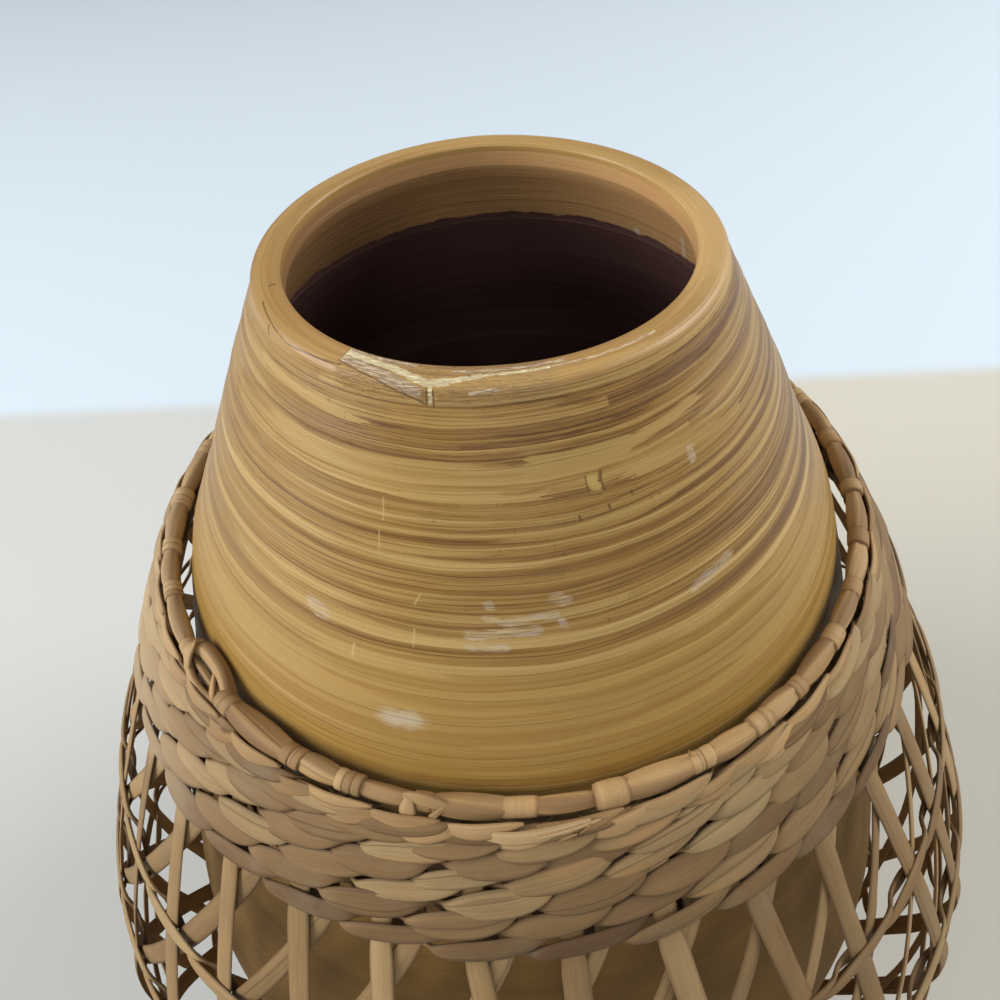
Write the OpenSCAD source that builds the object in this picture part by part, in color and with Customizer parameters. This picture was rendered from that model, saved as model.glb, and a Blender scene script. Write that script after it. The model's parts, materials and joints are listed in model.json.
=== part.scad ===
// Spun bamboo vase with a hand-woven basket sleeve around its lower two thirds.
// Millimetres, +Z up, origin at the centre of the underside, mouth upwards.

/* [Bamboo body] */
// Height from the underside to the top of the lip
body_h = 380; // [360:1:400]
// Inner diameter of the mouth
mouth_d = 94; // [86:1:102]
// Width of the lip's top, from the mouth to the outside
lip_w = 6; // [5:0.5:8]
// Outer diameter at the widest place of the bamboo
belly_d = 264; // [250:1:276]
// Height of the widest place of the bamboo and of the sleeve
belly_z = 137; // [120:1:150]
// Outer diameter at the underside
foot_d = 216; // [200:1:230]
// Thickness of the bamboo wall, measured level
wall_t = 8; // [6.5:0.5:9]
// Depth of the straight land just inside the mouth
mouth_land = 5; // [4:0.5:7]
// Rounding of the lip's outer edge
lip_outer_round = 2.5; // [1.5:0.25:3]
// Rounding of the lip's inner edge
lip_inner_round = 1.75; // [1:0.25:2]
// Thickness of the disc glued in as the floor
floor_t = 8; // [6:0.5:12]
// Glue line between the floor disc and the wall
floor_fit = 0.1; // [0.05:0.05:0.3]

/* [Lacquer lining] */
// Thickness of the dark coat on the inside
lacquer_t = 0.6; // [0.4:0.1:1]
// How far below the lip the dark coat starts
lacquer_drop = 29; // [16:1:36]

/* [Sleeve shape] */
// Height of the centre of the sleeve's rolled top border
border_z = 296; // [288:0.5:302]
// Height of the centre of the foot border above the underside
foot_border_z = 3.6; // [3.4:0.1:5]
// Free space between the top border and the bamboo
top_gap = 2.6; // [0.5:0.1:5]
// Space between the bamboo and the middle of the stakes at their widest place
belly_gap = 30; // [25:1:35]
// Free space between the foot border and the bamboo it grips
foot_gap = 0.1; // [0.05:0.05:0.4]

/* [Borders] */
// Diameter of the strand inside a border
core_d = 4.6; // [4:0.2:5]
// Thickness of the strand wrapped round a border
wrap_t = 0.9; // [0.6:0.1:1]
// Width of one wrap along a border
wrap_w = 5; // [4:0.5:7]
// Free space between a wrap and the strand inside it
wrap_gap = 0.1; // [0.05:0.05:0.15]

/* [Stakes] */
// Number of upright stakes round the sleeve
stake_count = 32; // [28:1:34]
// Width of a stake
stake_w = 6.5; // [5:0.5:7.5]
// Thickness of a stake, measured level
stake_t = 1.3; // [1:0.1:1.5]
// Free space between two layers of the weave
layer_gap = 0.25; // [0.2:0.05:0.35]

/* [Weavers] */
// Thickness of a weaver, measured level
weaver_t = 1.5; // [1.2:0.1:1.8]
// Height of a weaver, which is the mean height in the upper band
weaver_h = 4.15; // [3.65:0.05:4.3]
// Height from one row to the next in the woven bands, the mean one in the upper band
row_pitch = 4.4; // [4.25:0.05:4.6]
// Rows in the band under the top border
upper_rows = 7; // [5:1:9]
// Rows in the band over the foot border
lower_rows = 6; // [4:1:8]
// Single rows that bind the openwork between the two bands
binder_rows = 4; // [2:1:5]

/* [Hidden] */

// Fineness of circles, and steps in the outlines
$fn = 96;
shoulder_steps = 30;
lower_steps = 12;
round_steps = 5;

// Bamboo body: radii and the shape of its shoulder
mouth_r = mouth_d / 2;
lip_r = mouth_r + lip_w;
belly_r = belly_d / 2;
foot_r = foot_d / 2;
land_z = body_h - lip_inner_round - mouth_land;
// From the lip to the belly: share of the height, share of the growth in radius
shoulder_shares = [
    [0, 0], [0.077, 0.113], [0.155, 0.226], [0.232, 0.333], [0.309, 0.450],
    [0.387, 0.522], [0.484, 0.600], [0.580, 0.682], [0.780, 0.865], [1, 1]
];
// The inner wall leaves the mouth's land over this share of the land's depth
land_run_share = 1.4;

// Sleeve: the middle surface between its front and its crossing stakes. The foot border
// lies square to the bamboo, which leans outwards there.
sleeve_curve_power = 1.35;
core_r = core_d / 2;
wrap_r = core_r + wrap_gap + wrap_t;
sleeve_top_r = body_r(border_z) + top_gap + wrap_r;
foot_lean = atan(2 * (belly_r - foot_r) * (belly_z - foot_border_z) / pow(belly_z, 2));
sleeve_foot_r = body_r(foot_border_z) + (foot_gap + wrap_r) / cos(foot_lean);
sleeve_belly_r = belly_r + belly_gap;
stake_top_z = border_z - core_r - layer_gap;
stake_foot_z = foot_border_z + core_r + layer_gap;

// Level offsets from the middle surface of each layer's near and far face
front_near = layer_gap / 2;
front_far = front_near + stake_t;
weaver_near = front_far + layer_gap;
weaver_far = weaver_near + weaver_t;
weaver_edge = weaver_t / 4;

// Heights of the bands and of the openwork between them
upper_band_foot_z = stake_top_z - upper_rows * row_pitch;
lower_band_top_z = stake_foot_z + lower_rows * row_pitch;
open_h = upper_band_foot_z - lower_band_top_z;

// The upper band's rows grow evenly in height from the border down, from this share
first_row_share = 0.6;

// Stakes: places round the sleeve, and how far each set leans over the openwork.
// The cross stakes and the wraps start at a share of a step from the front stakes.
stake_step = 360 / stake_count;
first_stake_turn = 3;
cross_start_share = 0.35;
wrap_start_share = -0.4;
front_lean_steps = 1;
cross_lean_steps = 5;
open_segments = 8;
stations = concat(
    [stake_top_z],
    [for (i = [0:open_segments]) upper_band_foot_z - open_h * i / open_segments],
    [stake_foot_z]
);
station_table = [for (i = [len(stations) - 1:-1:0]) [stations[i], sleeve_curve_r(stations[i])]];

// Value of a smooth curve through a table of pairs, level at its last pair
function pair_index(table, t, i = 0) =
    i >= len(table) - 2 || t <= table[i + 1][0] ? i : pair_index(table, t, i + 1);
function pair_slope(table, i) =
    i == len(table) - 1 ? 0 :
    let (a = max(i - 1, 0))
    (table[i + 1][1] - table[a][1]) / (table[i + 1][0] - table[a][0]);
function smooth_value(table, t) =
    let (
        i = pair_index(table, t),
        span = table[i + 1][0] - table[i][0],
        u = (t - table[i][0]) / span,
        rise_a = pair_slope(table, i) * span,
        rise_b = pair_slope(table, i + 1) * span
    )
    table[i][1] * (2 * u * u * u - 3 * u * u + 1) + rise_a * (u * u * u - 2 * u * u + u)
    + table[i + 1][1] * (3 * u * u - 2 * u * u * u) + rise_b * (u * u * u - u * u);

// Outer radius of the bamboo at a height
function body_r(z) =
    z >= belly_z
    ? lip_r + (belly_r - lip_r) * smooth_value(shoulder_shares, (body_h - z) / (body_h - belly_z))
    : foot_r + (belly_r - foot_r) * (1 - pow((belly_z - z) / belly_z, 2));

// Heights of the outline's points between the lip's rounding and the underside
body_heights = concat(
    [for (i = [0:shoulder_steps])
        body_h - lip_outer_round - (body_h - lip_outer_round - belly_z) * i / shoulder_steps],
    [for (i = [1:lower_steps]) belly_z * (1 - i / lower_steps)]
);
inner_start_z = land_z - mouth_land * land_run_share;
function inner_r(z) = body_r(z) - wall_t;
inner_heights = concat(
    [for (i = [0:shoulder_steps])
        inner_start_z - (inner_start_z - belly_z) * i / shoulder_steps],
    [for (i = [1:lower_steps]) belly_z * (1 - i / lower_steps)]
);

// Quarter round from a start angle, as points about a centre
function quarter(cx, cz, r, start) =
    [for (i = [0:round_steps])
        let (a = start + 90 * i / round_steps) [cx + r * cos(a), cz + r * sin(a)]];

module bamboo_shell() {
    outer_side = [for (z = body_heights) [body_r(z), z]];
    inner_side = [for (z = inner_heights) [inner_r(z), z]];
    lip_outer = quarter(body_r(body_h - lip_outer_round) - lip_outer_round,
        body_h - lip_outer_round, lip_outer_round, 0);
    lip_inner = quarter(mouth_r + lip_inner_round, body_h - lip_inner_round, lip_inner_round, 90);
    outline = concat(
        [for (i = [len(outer_side) - 1:-1:1]) outer_side[i]],
        lip_outer,
        lip_inner,
        [[mouth_r, land_z]],
        inner_side
    );
    color("#b98f4b")
    rotate_extrude()
    polygon(outline);
}

module floor_disc() {
    color("#8a6a3a")
    rotate_extrude()
    polygon([
        [0, 0],
        [inner_r(0) - floor_fit, 0],
        [inner_r(floor_t) - floor_fit, floor_t],
        [0, floor_t]
    ]);
}

module lacquer_lining() {
    coat_top_z = body_h - lacquer_drop;
    coat_heights = concat(
        [coat_top_z],
        [for (z = inner_heights) if (z < coat_top_z && z > floor_t) z],
        [floor_t]
    );
    wall_side = [for (z = coat_heights) [wall_surface_r(z), z]];
    free_side = [for (p = wall_side) [p[0] - lacquer_t, max(p[1], floor_t + lacquer_t)]];
    color("#2a1c1e")
    rotate_extrude()
    polygon(concat(
        wall_side,
        [[0, floor_t], [0, floor_t + lacquer_t]],
        [for (i = [len(free_side) - 1:-1:0]) free_side[i]]
    ));
}

// Radius of the shell's own inner face, which is straight between its points
wall_table = [for (i = [len(inner_heights) - 1:-1:0]) [inner_heights[i], inner_r(inner_heights[i])]];
function wall_surface_r(z) = lookup(z, wall_table);

// Middle radius of the sleeve at a height, as a curve and as the stakes follow it.
// The sleeve is widest where the bamboo is.
function sleeve_curve_r(z) =
    z >= belly_z
    ? let (t = (border_z - z) / (border_z - belly_z))
        sleeve_top_r + (sleeve_belly_r - sleeve_top_r) * (1 - pow(1 - t, sleeve_curve_power))
    : let (u = (belly_z - z) / (belly_z - foot_border_z))
        sleeve_foot_r + (sleeve_belly_r - sleeve_foot_r) * (1 - pow(u, sleeve_curve_power));
function sleeve_r(z) = lookup(z, station_table);

// A flat ring that lies on the sleeve between two level offsets, with eased edges
module flat_ring(centre_z, height, near, far) {
    low_z = centre_z - height / 2;
    high_z = centre_z + height / 2;
    ease = weaver_edge;
    rotate_extrude()
    polygon([
        [sleeve_r(low_z) + near + ease, low_z],
        [sleeve_r(low_z) + far - ease, low_z],
        [sleeve_r(low_z + ease) + far, low_z + ease],
        [sleeve_r(high_z - ease) + far, high_z - ease],
        [sleeve_r(high_z) + far - ease, high_z],
        [sleeve_r(high_z) + near + ease, high_z],
        [sleeve_r(high_z - ease) + near, high_z - ease],
        [sleeve_r(low_z + ease) + near, low_z + ease]
    ]);
}

// One twined row: a weaver outside the stakes and its partner inside them
module weaver_pair(centre_z, height = weaver_h) {
    flat_ring(centre_z, height, weaver_near, weaver_far);
    flat_ring(centre_z, height, -weaver_far, -weaver_near);
}

// Height of a row of the upper band as a share of the mean row, and of all rows above its foot
function upper_row_share(number) =
    first_row_share + 2 * (1 - first_row_share) * (number - 1) / (upper_rows - 1);
function rows_above_share(number) =
    number < 1 ? 0 : rows_above_share(number - 1) + upper_row_share(number);

module upper_weaver_row(number) {
    color(number % 2 == 0 ? "#b29a78" : "#bda684")
    weaver_pair(
        stake_top_z - row_pitch * (rows_above_share(number) - upper_row_share(number) / 2),
        weaver_h * upper_row_share(number)
    );
}

module lower_weaver_row(number) {
    color(number % 2 == 0 ? "#b29a78" : "#bda684")
    weaver_pair(stake_foot_z + row_pitch * (number - 0.5));
}

module binder_row(number) {
    color("#a98f6b")
    weaver_pair(upper_band_foot_z - open_h * number / (binder_rows + 1));
}

// Place of a stake round the sleeve, counted in steps from the first
function stake_angle(steps) = first_stake_turn + steps * stake_step;

// Share of the openwork's height that lies above a height
function open_share(z) = min(max((upper_band_foot_z - z) / open_h, 0), 1);

// The four corners of a strip's level section at one station
function strip_corners(z, angle, near, far) =
    let (half = stake_w / 2)
    [for (corner = [[near, -half], [far, -half], [far, half], [near, half]])
        let (
            r = sleeve_r(z) + corner[0],
            a = angle + asin(corner[1] / r)
        )
        [r * cos(a), r * sin(a), z]];

// A strip that runs down the sleeve from the top border to the foot border
module strip(start_angle, lean_angle, near, far) {
    count = len(stations);
    corners = [for (z = stations)
        each strip_corners(z, start_angle + lean_angle * open_share(z), near, far)];
    sides = [for (i = [0:count - 2], j = [0:3])
        let (
            a = 4 * i + j,
            b = 4 * i + (j + 1) % 4
        )
        each [[a, b, b + 4], [a, b + 4, a + 4]]];
    last = 4 * (count - 1);
    ends = [[2, 1, 0], [3, 2, 0], [last, last + 1, last + 2], [last, last + 2, last + 3]];
    polyhedron(points = corners, faces = concat(sides, ends));
}

module front_stakes() {
    color("#c0a987")
    for (i = [0:stake_count - 1])
        strip(stake_angle(i), front_lean_steps * stake_step, front_near, front_far);
}

module cross_stakes() {
    color("#a58a63")
    for (i = [0:stake_count - 1])
        strip(stake_angle(i + cross_start_share), -cross_lean_steps * stake_step,
            -front_far, -front_near);
}

module border_core(centre_r, centre_z) {
    color("#c9ab80")
    rotate_extrude()
    translate([centre_r, centre_z])
    circle(r = core_r);
}

// Short sleeves of flat strand wound round a border, one over each stake
module border_wraps(centre_r, centre_z) {
    wrap_angle = 2 * asin(wrap_w / 2 / centre_r);
    color("#b7986a")
    for (i = [0:stake_count - 1])
        rotate([0, 0, stake_angle(i + wrap_start_share) - wrap_angle / 2])
        rotate_extrude(angle = wrap_angle)
        translate([centre_r, centre_z])
        difference() {
            circle(r = wrap_r);
            circle(r = core_r + wrap_gap);
        }
}

bamboo_shell();
floor_disc();
lacquer_lining();
border_core(sleeve_top_r, border_z);  // top_border_core
border_wraps(sleeve_top_r, border_z);  // top_border_wraps
for (i = [1:upper_rows])
    upper_weaver_row(i);
front_stakes();
cross_stakes();
for (i = [1:binder_rows])
    binder_row(i);
for (i = [1:lower_rows])
    lower_weaver_row(i);
border_core(sleeve_foot_r, foot_border_z);  // foot_border_core
border_wraps(sleeve_foot_r, foot_border_z);  // foot_border_wraps
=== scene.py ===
import json
import math

import bpy
import numpy as np
from mathutils import Matrix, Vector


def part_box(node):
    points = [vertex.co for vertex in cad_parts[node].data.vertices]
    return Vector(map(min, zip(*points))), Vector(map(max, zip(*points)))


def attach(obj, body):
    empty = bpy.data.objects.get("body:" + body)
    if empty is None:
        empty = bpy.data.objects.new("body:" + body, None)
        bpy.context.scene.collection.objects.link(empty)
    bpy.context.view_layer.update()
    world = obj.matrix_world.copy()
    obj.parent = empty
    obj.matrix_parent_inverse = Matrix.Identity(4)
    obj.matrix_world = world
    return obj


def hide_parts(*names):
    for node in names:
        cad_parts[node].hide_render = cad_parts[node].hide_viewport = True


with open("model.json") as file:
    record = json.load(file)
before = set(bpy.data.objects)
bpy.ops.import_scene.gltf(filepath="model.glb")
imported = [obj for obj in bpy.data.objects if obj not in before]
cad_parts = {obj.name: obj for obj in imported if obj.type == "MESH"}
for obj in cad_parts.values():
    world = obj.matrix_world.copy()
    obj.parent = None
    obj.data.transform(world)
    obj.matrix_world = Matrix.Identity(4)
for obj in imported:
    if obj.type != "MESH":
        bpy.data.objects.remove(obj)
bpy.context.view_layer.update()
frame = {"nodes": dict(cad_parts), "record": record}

MM = 0.001
TURN = 2 * math.pi
ROOT = "root"
scene = bpy.context.scene
scene.view_settings.view_transform = "Standard"


# Places and sizes that the frame gives

LEAST_LEAN = 0.1  # How far out, of 1, a wall's normal points. Less is a level face.


def radii_by_height(corners, facing, digits=6):
    """Heights and radii of mesh corners, taking the farthest or nearest one at each height."""
    radius_at = {}
    for co in corners:
        height, radius = round(co.z, digits), math.hypot(co.x, co.y)
        if facing * radius > facing * radius_at.get(height, -facing):
            radius_at[height] = radius
    heights = np.array(sorted(radius_at))
    return heights, np.array([radius_at[h] for h in heights])


def turned_outline(node, outwards):
    """Heights and radii of a turned CAD piece's outer or inner face, from the foot up."""
    mesh = frame["nodes"][node].data
    facing = 1 if outwards else -1
    corners = []
    for face in mesh.polygons:
        across = face.center.xy.length
        if across and facing * face.normal.xy.dot(face.center.xy) / across > LEAST_LEAN:
            corners += [mesh.vertices[i].co for i in face.vertices]
    return radii_by_height(corners, facing)


def smooth_through(at, places, values):
    """A smooth curve through the values, read at the wanted places."""
    slopes = np.gradient(values, places)
    at = np.clip(at, places[0], places[-1])
    i = np.clip(np.searchsorted(places, at) - 1, 0, len(places) - 2)
    span = places[i + 1] - places[i]
    u = (at - places[i]) / span
    return (values[i] * (2 * u**3 - 3 * u**2 + 1) + slopes[i] * span * (u**3 - 2 * u**2 + u)
            + values[i + 1] * (3 * u**2 - 2 * u**3) + slopes[i + 1] * span * (u**3 - u**2))


def middle_height(node):
    low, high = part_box(node)
    return (low.z + high.z) / 2


BODY_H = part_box("bamboo_shell")[1].z
MOUTH_R = next(m for m in frame["record"]["mounts"] if m["name"] == "mouth")["dims"]["r_mm"] * MM
LAYER_GAP = 0.25 * MM
STAKE_COUNT = 32
STAKE_STEP = TURN / STAKE_COUNT
FIRST_STAKE_TURN = math.radians(3)
CROSS_START_SHARE = 0.35
CROSS_LEAN_STEPS = -5

STAKE_LEVELS, STAKE_NEAR_R = radii_by_height(
    [vertex.co for vertex in frame["nodes"]["front_stakes"].data.vertices], -1, 5)
STAKE_NEAR_R = STAKE_NEAR_R - LAYER_GAP / 2
STAKE_FOOT, STAKE_TOP = STAKE_LEVELS[0], STAKE_LEVELS[-1]
OPEN_FOOT, OPEN_TOP = STAKE_LEVELS[1], STAKE_LEVELS[-2]


def sleeve_r(height):
    """Radius of the surface between the front and the cross stakes."""
    return smooth_through(np.asarray(height, float), STAKE_LEVELS, STAKE_NEAR_R)


def sleeve_slope(height):
    """How fast the sleeve's radius grows with height."""
    step = 1 * MM
    return float((sleeve_r(height + step) - sleeve_r(height - step)) / (2 * step))


def in_scene(name, data):
    """A new object with this data, linked to the scene."""
    thing = bpy.data.objects.new(name, data)
    scene.collection.objects.link(thing)
    return thing


def mesh_piece(name, points, faces, material, **attributes):
    """A smooth mesh object with number attributes on its points."""
    mesh = bpy.data.meshes.new(name)
    mesh.from_pydata(points, [], faces)
    for title, values in attributes.items():
        layer = mesh.attributes.new(title, "FLOAT", "POINT")
        layer.data.foreach_set("value", np.array(values, np.float32))
    mesh.materials.append(material)
    mesh.shade_smooth()
    return in_scene(name, mesh)


# Node trees, written as sums

def feed(node, sockets):
    """Links each socket of a node to a wire, or sets it to a value."""
    for key, value in sockets.items():
        if isinstance(value, Wire):
            value.tree.links.new(value.socket, node.inputs[key])
        else:
            node.inputs[key].default_value = value


def signs(operation):
    """The two methods of an arithmetic sign: with the wire before it and after it."""
    return (lambda wire, other: wire.math(operation, wire, other),
            lambda wire, other: wire.math(operation, other, wire))


class Wire:
    """A socket of a node tree. Sums and products of wires add Math nodes to the tree."""

    __add__, __radd__ = signs("ADD")
    __sub__, __rsub__ = signs("SUBTRACT")
    __mul__, __rmul__ = signs("MULTIPLY")
    __truediv__, __rtruediv__ = signs("DIVIDE")
    __pow__, __rpow__ = signs("POWER")

    def __init__(self, tree, socket=None):
        self.tree = tree
        self.socket = socket

    def node(self, kind, sockets=None, output=0, stops=None, points=None, **settings):
        """The output of a new node, with its sockets, ramp stops or curve points set."""
        made = self.tree.nodes.new(kind)
        for name, value in settings.items():
            setattr(made, name, value)
        if stops:
            ramp = made.color_ramp
            while len(ramp.elements) < len(stops):
                ramp.elements.new(1)
            for element, (place, colour) in zip(ramp.elements, stops):
                element.position = place
                element.color = colour
        if points:
            curve = made.mapping.curves[0]
            while len(curve.points) < len(points):
                curve.points.new(1, 1)
            for point, place in zip(curve.points, points):
                point.location = place
            made.mapping.update()
        feed(made, sockets or {})
        return Wire(self.tree, made.outputs[output])

    def out(self, output):
        return Wire(self.tree, self.socket.node.outputs[output])

    def math(self, operation, *values):
        return self.node("ShaderNodeMath", dict(enumerate(values)), operation=operation)

    def vector_math(self, operation, *values, output=0):
        return self.node("ShaderNodeVectorMath", dict(enumerate(values)), output,
                         operation=operation)

    def __neg__(self):
        return self * -1

    def __abs__(self):
        return self.math("ABSOLUTE", self)


def sine(wire):
    return wire.math("SINE", wire)


def cosine(wire):
    return wire.math("COSINE", wire)


def ease(wire, low, high, to_low=0.0, to_high=1.0):
    """Smooth step of a value from one end to the other."""
    return wire.node("ShaderNodeMapRange", {0: wire, 1: low, 2: high, 3: to_low, 4: to_high},
                     interpolation_type="SMOOTHSTEP")


def between(wire, low, full_from, full_to, high):
    """1 between the two inner values, and eased down to 0 at the outer ones."""
    return ease(wire, low, full_from) * ease(wire, high, full_to)


def object_place(wire):
    return wire.node("ShaderNodeTexCoord", output="Object")


def attribute(wire, name):
    return wire.node("ShaderNodeAttribute", output="Fac", attribute_name=name)


def parts(wire):
    """The X, Y and Z of a place."""
    split = wire.node("ShaderNodeSeparateXYZ", {0: wire})
    return split, split.out(1), split.out(2)


def vector(x, y, z):
    start = next(value for value in (x, y, z) if isinstance(value, Wire))
    return start.node("ShaderNodeCombineXYZ", {0: x, 1: y, 2: z})


def noise(place, detail=2.0, roughness=0.5, scale=1.0):
    return place.node("ShaderNodeTexNoise", {"Vector": place, "Scale": scale,
                                             "Detail": detail, "Roughness": roughness})


def chance(wire):
    """A number from 0 to 1 that is fixed for each value."""
    return wire.node("ShaderNodeTexWhiteNoise", {"W": wire}, output="Value",
                     noise_dimensions="1D")


def tint(mask, below, above):
    """One colour where the mask is 0 and the other where it is 1."""
    return mask.node("ShaderNodeMix", {0: mask, 6: below, 7: above}, output=2,
                     data_type="RGBA")


class Coat:
    """A colour that takes others on top of it, each through a mask."""

    def __init__(self, colour):
        self.colour = colour

    def lay(self, mask, strength, colour):
        self.colour = tint(mask * strength, self.colour, colour)


def ramp(wire, stops):
    return wire.node("ShaderNodeValToRGB", {0: wire}, stops=stops)


def paint(red, green, blue):
    """A colour named by its 8-bit screen values, as the linear values that a shader takes."""
    def linear(value):
        share = value / 255
        return share / 12.92 if share <= 0.04045 else ((share + 0.055) / 1.055) ** 2.4
    return (linear(red), linear(green), linear(blue), 1.0)


def new_finish(name):
    """A material, a wire to start from, and a function that sets its shader's sockets."""
    material = bpy.data.materials.new(name)
    material.use_nodes = True
    tree = material.node_tree
    skin = tree.nodes["Principled BSDF"]

    def finish(**sockets):
        feed(skin, {key.replace("_", " "): value for key, value in sockets.items()})
    return material, Wire(tree), finish


def bumped(height, distance, strength):
    return height.node("ShaderNodeBump", {"Height": height, "Distance": distance,
                                          "Strength": strength})


# Marks on the bamboo: each is a stroke from one place to another, and its half width in
# millimetres. A place is degrees round the vase, from its front towards the viewer's
# right, and millimetres below the lip's edge, negative on the lip's top and inside.

DEGREE_MM = 0.93
CHIP_STROKES = [
    (-36.6, -4.2, -23.0, -3.3, 0.75), (-24.0, -3.3, -15.4, -0.5, 0.80),
    (-15.4, -0.5, -11.0, -1.0, 0.85), (-11.0, -1.1, -4.0, -2.5, 0.65),
    (-4.0, -2.7, 11.0, -3.1, 0.36), (-14.4, 0.2, -14.3, 3.4, 0.42),
]
SPLINTER_STROKES = [
    (-36.6, -2.6, -25.0, -1.2, 1.15), (-26.0, -1.2, -17.4, 1.4, 1.15),
    (-36.6, -5.2, -19.0, -4.9, 0.40), (-10.0, -4.0, 15.0, -4.4, 0.36),
    (11.0, -3.2, 38.0, -2.6, 0.26), (-6.0, 1.3, -0.5, 0.9, 0.34),
]
PLAIN_STROKES = [
    (4.8, 16.6, 23.0, 17.2, 2.1), (-9.0, 17.0, 4.0, 17.0, 0.7), (23.0, 17.0, 41.0, 15.4, 1.2),
    (23.5, 23.2, 52.0, 24.8, 1.2), (-60.0, 8.0, -30.0, 9.5, 1.0), (-20.0, 23.0, 6.0, 23.2, 0.7),
]
BROWN_STROKES = [
    (0.0, 22.8, 13.2, 23.0, 1.7), (18.0, 20.8, 29.0, 20.0, 1.2), (-8.0, 12.4, 8.0, 12.2, 0.8),
]
TEAR_STROKES = [(15.3, 22.0, 16.0, 23.6, 1.0)]
CRACK_STROKES = [
    (-69.0, -0.9, -52.0, 0.9, 0.16), (-52.0, 0.9, -35.6, -0.4, 0.22),
    (-75.4, -4.6, -75.0, -3.4, 0.28), (-60.6, 0.8, -60.2, 2.6, 0.34),
    (-36.8, -4.9, -36.7, -1.4, 0.13), (-36.6, -1.3, -26.3, 0.3, 0.15),
    (-26.3, 0.3, -17.2, 3.0, 0.20), (-17.2, 3.0, -15.2, 4.0, 0.20),
    (-35.0, -3.2, -24.5, -2.2, 0.10), (-15.05, 0.6, -15.0, 4.2, 0.15),
    (-13.65, 1.0, -13.5, 4.4, 0.17), (14.2, 20.8, 14.3, 24.6, 0.12),
    (17.2, 20.8, 16.8, 22.6, 0.34), (17.0, 22.6, 17.3, 24.9, 0.20),
    (14.4, 25.0, 16.6, 25.3, 0.12), (12.0, 28.8, 12.2, 30.0, 0.22),
    (17.6, 28.0, 17.8, 29.2, 0.22), (22.2, 26.8, 22.4, 27.6, 0.20),
]
SCUFF_SPOTS = [
    (-7.6, 53.2, 2.4, 52.6, 1.20), (-8.0, 56.0, -2.6, 56.3, 0.80), (-2.2, 50.2, 5.6, 49.6, 1.00),
    (-4.8, 45.6, -4.4, 46.8, 0.75), (-5.2, 49.2, -3.6, 49.6, 0.70), (6.3, 45.6, 7.6, 46.8, 1.10),
    (6.6, 51.0, 7.2, 52.6, 0.60), (-35.6, 55.0, -34.0, 56.0, 1.60),
    (36.4, 24.2, 36.4, 27.0, 0.80), (30.2, 54.6, 38.0, 53.0, 1.20),
]
SMEAR_SPOTS = [(-20.2, 76.0, -17.4, 75.6, 1.9)]
# Painted highlights: pale streaks of reflected light down the inner neck
NECK_PAINTED_HIGHLIGHTS = [(113.2, -25.5, 118.0, -38.5, 0.55), (134.2, -34.0, 134.6, -36.5, 0.9)]
SCRATCH_STROKES = [
    (-23.3, 24.4, -23.1, 29.3, 0.12), (-23.8, 31.8, -23.6, 36.9, 0.12),
    (-16.0, 44.5, -17.0, 47.0, 0.15), (-17.0, 53.0, -17.2, 57.5, 0.15),
    (-27.4, 60.4, -27.6, 64.0, 0.18),
]

# Lighter and darker belts that run round the wall: distance below the lip's edge, and
# how much lighter than the wall
BELTS = [
    (36.2, 0.0), (36.7, 0.12), (38.2, 0.12), (38.8, -0.03), (42.1, -0.05), (42.6, 0.11),
    (43.9, 0.11), (44.6, -0.10), (48.1, -0.12), (48.8, 0.12), (50.7, 0.12), (51.4, -0.09),
    (53.4, -0.09), (53.9, 0.05), (55.0, 0.05), (55.7, -0.09), (60.5, -0.11), (61.5, 0.11),
    (64.1, 0.11), (65.2, 0.0), (68.2, 0.0), (68.7, 0.05), (69.8, 0.05), (70.5, 0.0),
]
BELTS_END = 80.0


def stroke_distance(degrees, down, stroke):
    """Distance in millimetres from places on the wall to a stroke, as an array."""
    start_x, start_y, end_x, end_y = stroke[:4]
    run_x, run_y = (end_x - start_x) * DEGREE_MM, end_y - start_y
    x, y = (degrees - start_x) * DEGREE_MM, down - start_y
    share = np.clip((x * run_x + y * run_y) / (run_x**2 + run_y**2), 0, 1)
    return np.hypot(x - share * run_x, y - share * run_y)


def stroke_mask(degrees, down, strokes, rag, edge):
    """Mask of strokes on the wall, whose edges are ragged by another wire.

    Each stroke is laid along X from the origin and shrunk until its half width is 1. Z
    carries the least distance so far, so that the strokes are worked out one by one.
    """
    x_mm = degrees * DEGREE_MM
    far_off = 1000.0
    nearest = far_off
    for start_x, start_y, end_x, end_y, half in strokes:
        run_x = (end_x - start_x) * DEGREE_MM
        run_y = end_y - start_y
        place = vector(x_mm, down, nearest)
        laid = place.node("ShaderNodeMapping", {
            "Vector": place, "Location": (start_x * DEGREE_MM, start_y, 0.0),
            "Rotation": (0.0, 0.0, math.atan2(run_y, run_x)), "Scale": (half, half, 1.0)},
            vector_type="TEXTURE")
        reach = (math.hypot(run_x, run_y) / half, 0.0, far_off)
        on_line = laid.vector_math("MINIMUM", laid, reach)
        on_line = laid.vector_math("MAXIMUM", on_line, (0.0, 0.0, 0.0))
        away = laid.vector_math("DISTANCE", laid, on_line, output="Value")
        nearest = away.math("MINIMUM", away, nearest)
    return ease(nearest + rag, 1 + edge, 1 - edge)


# Finishes

PALE_STRIP = paint(195, 164, 106)
LIGHT_STRIP = paint(175, 143, 84)
MID_STRIP = paint(154, 120, 62)
BROWN_STRIP = paint(130, 94, 42)
DARK_STRIP = paint(100, 66, 26)
GOLDEN_STRIP = paint(166, 127, 58)
BARE_WOOD = paint(226, 213, 172)
SCUFF_TINT = paint(192, 176, 168)
LACQUER = paint(94, 68, 65)
BARE_NECK = paint(194, 151, 103)
CHALKY = paint(206, 196, 180)
COAT_TOP_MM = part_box("lacquer_lining")[1].z / MM
STRIP_H_MM = 2.1


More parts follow.
